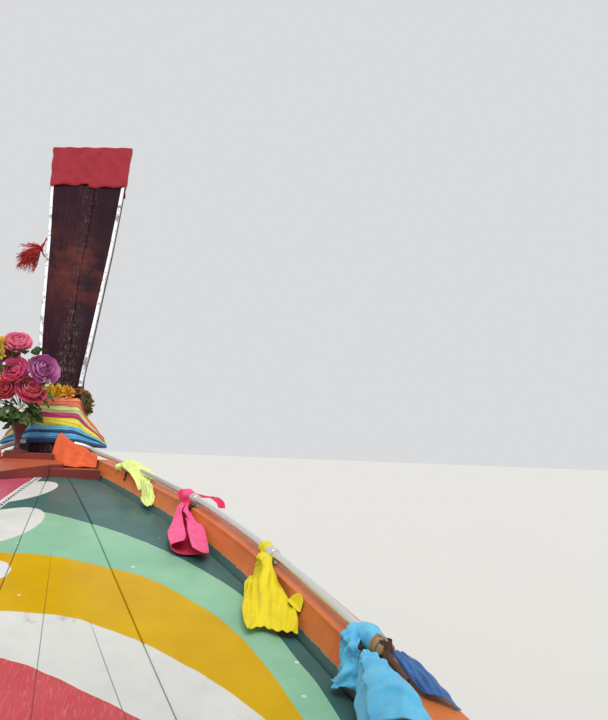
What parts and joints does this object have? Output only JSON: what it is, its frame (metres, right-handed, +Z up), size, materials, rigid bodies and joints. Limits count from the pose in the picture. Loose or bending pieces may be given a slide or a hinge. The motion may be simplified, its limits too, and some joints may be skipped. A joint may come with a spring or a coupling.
{
  "type": "longtail boat",
  "caption": "Open wooden longtail boat with a tall raked prow board, painted foredeck, bow rails with tied cloths, a canopy and a long-shaft engine that steers on a stern post.",
  "frame": {"origin": "on the waterline at the middle of the hull", "axes": "+X towards the bow, +Y to port, +Z up"},
  "size_m": [14.8423, 2.1354, 3.3945],
  "materials": {
    "hull_planks": "oiled hardwood",
    "keel_timber": "dark hardwood",
    "orange_paint": "worn orange enamel",
    "deck_paint": "worn enamel in bands",
    "interior_paint": "enamel",
    "red_brown_paint": "enamel",
    "prow_timber": "dark varnished hardwood",
    "band_cloth": "matte",
    "red_cloth": "matte",
    "marigold": "matte",
    "flowers": "matte",
    "rail_steel": "polished tube",
    "neon_cloth": "matte",
    "pink_cloth": "matte",
    "yellow_cloth": "satin",
    "blue_cloth": "satin",
    "orange_cloth": "matte",
    "canopy_timber": "varnished",
    "roof_board": "painted",
    "iron_paint": "painted steel",
    "engine_metal": "painted castings",
    "bronze": "dull",
    "tank_plastic": "moulded"
  },
  "bodies": {
    "boat": {"strake_bottom_port": "hull_planks", "strake_bottom_starboard": "hull_planks", "strake_bilge_port": "hull_planks", "strake_bilge_starboard": "hull_planks", "strake_topside_port": "hull_planks", "strake_topside_starboard": "hull_planks", "keel": "keel_timber", "stem": "keel_timber", "transom": "hull_planks", "gunwale_port": "orange_paint", "gunwale_starboard": "orange_paint", "foredeck_king_plank": "deck_paint", "foredeck_inner_port": "deck_paint", "foredeck_inner_starboard": "deck_paint", "foredeck_outer_port": "deck_paint", "foredeck_outer_starboard": "deck_paint", "foredeck_bulkhead": "interior_paint", "stern_deck": "interior_paint", "stern_bulkhead": "interior_paint", "ribs_and_keelson": "hull_planks", "floor_panel_1": "interior_paint", "floor_panel_2": "interior_paint", "floor_panel_3": "interior_paint", "floor_panel_4": "interior_paint", "bench_1": "interior_paint", "bench_2": "interior_paint", "bench_3": "interior_paint", "bench_4": "interior_paint", "bow_beam": "red_brown_paint", "bow_platform": "red_brown_paint", "prow": "prow_timber", "prow_wrap": "band_cloth", "prow_cap": "red_cloth", "garland": "marigold", "tassel": "red_cloth", "flower_stand": "red_brown_paint", "bouquet": "flowers", "bow_rail_port": "rail_steel", "bow_rail_starboard": "rail_steel", "cloth_neon_port": "neon_cloth", "cloth_neon_starboard": "neon_cloth", "cloth_pink_port": "pink_cloth", "cloth_pink_starboard": "pink_cloth", "cloth_yellow_port": "yellow_cloth", "cloth_yellow_starboard": "yellow_cloth", "cloth_blue_port": "blue_cloth", "cloth_blue_starboard": "blue_cloth", "cloth_orange_port": "orange_cloth", "cloth_orange_starboard": "orange_cloth", "canopy_side_port": "canopy_timber", "canopy_side_starboard": "canopy_timber", "canopy_beams": "canopy_timber", "canopy_roof": "roof_board", "engine_post": "iron_paint", "fuel_tank": "tank_plastic"},
    "yoke": {"yoke": "iron_paint"},
    "engine": {"engine": "engine_metal", "shaft_tube": "iron_paint", "tiller": "iron_paint"},
    "propeller": {"propeller": "bronze"}
  },
  "joints": [
    {"name": "engine_yaw", "type": "hinge", "parent": "boat", "child": "yoke", "pos_m": [-5.6, 0, 1.15], "axis": [0, 0, 1], "range_deg": [-45, 45]},
    {"name": "engine_tilt", "type": "hinge", "parent": "yoke", "child": "engine", "pos_m": [-5.6, 0, 1.15], "axis": [0, 1, 0], "range_deg": [0, 20]},
    {"name": "propeller_spin", "type": "hinge", "parent": "engine", "child": "propeller", "pos_m": [-9.35171, 0, -0.17855], "axis": [0.9426, 0, 0.3338], "continuous": true}
  ]
}
